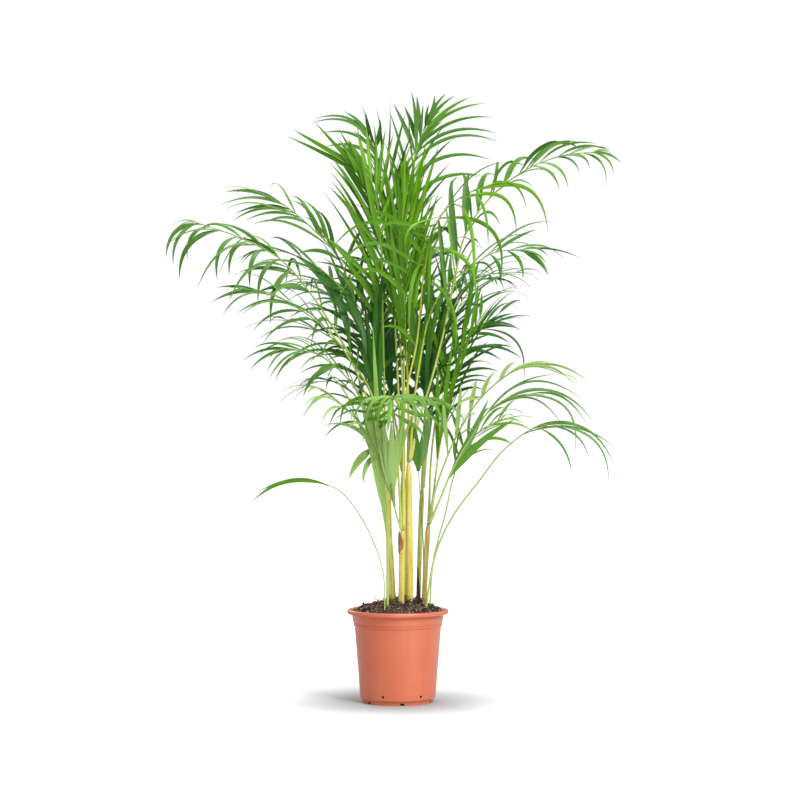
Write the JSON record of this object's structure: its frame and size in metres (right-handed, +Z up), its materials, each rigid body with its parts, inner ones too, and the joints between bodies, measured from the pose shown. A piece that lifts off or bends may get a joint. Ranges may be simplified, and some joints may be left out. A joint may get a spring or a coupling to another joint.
{
  "type": "potted palm",
  "caption": "Young areca palm: a clump of thin canes with arching feather-leaved fronds, in a tapered round nursery pot with soil.",
  "frame": {"origin": "on the floor at the pot's axis, which is under the middle of the plant's outer box", "axes": "+Z up along the pot's axis, -Y towards the front that the picture shows, +X to its right"},
  "size_m": [0.9022, 0.6692, 1.1802],
  "materials": {
    "pot_plastic": "terracotta-coloured moulded plastic, satin",
    "soil": "dark fibrous potting mix, rough",
    "dead_wood": "dry bark",
    "dry_sheath": "dried brown leaf sheath, matt",
    "cane": "smooth yellow leaf sheath with small dark specks, satin",
    "leaf_bright": "young leaf, thin and slightly glossy",
    "leaf_mid": "leaf, thin and slightly glossy",
    "leaf_dark": "shaded older leaf, thin and slightly glossy",
    "leaf_pale": "pale young leaf, thin, satin"
  },
  "bodies": {
    "root": {"pot": "pot_plastic", "soil": "soil", "twig": "dead_wood", "dried_sheath": "dry_sheath", "dead_stub": "dry_sheath", "cane_front": "cane", "cane_thick": "cane", "cane_left": "cane", "cane_back_left": "cane", "cane_back": "cane", "cane_right": "cane", "cane_back_right": "cane", "frond_left_long": "leaf_mid", "frond_left_upper": "leaf_mid", "frond_left_middle": "leaf_dark", "frond_left_front": "leaf_mid", "frond_left_drop": "leaf_dark", "frond_left_low": "leaf_mid", "frond_left_lowest": "leaf_dark", "frond_left_pale": "leaf_pale", "frond_left_lone": "leaf_bright", "frond_left_small": "leaf_mid", "frond_front_arch": "leaf_bright", "frond_front_tall": "leaf_bright", "frond_right_middle": "leaf_mid", "frond_centre_spear": "leaf_bright", "frond_top_right": "leaf_mid", "frond_left_bright": "leaf_bright", "frond_top_left": "leaf_mid", "frond_pale_broad": "leaf_pale", "frond_young_dark": "leaf_dark", "frond_right_long": "leaf_mid", "frond_right_thin": "leaf_dark", "frond_right_dark": "leaf_dark", "frond_right_bright": "leaf_bright", "frond_right_light": "leaf_pale", "frond_right_broad": "leaf_mid", "frond_right_lowest": "leaf_mid", "frond_right_inner": "leaf_bright", "frond_back": "leaf_dark", "frond_back_right": "leaf_dark", "frond_back_left": "leaf_dark", "frond_inner_left": "leaf_dark", "frond_inner_right": "leaf_dark"}
  },
  "joints": []
}
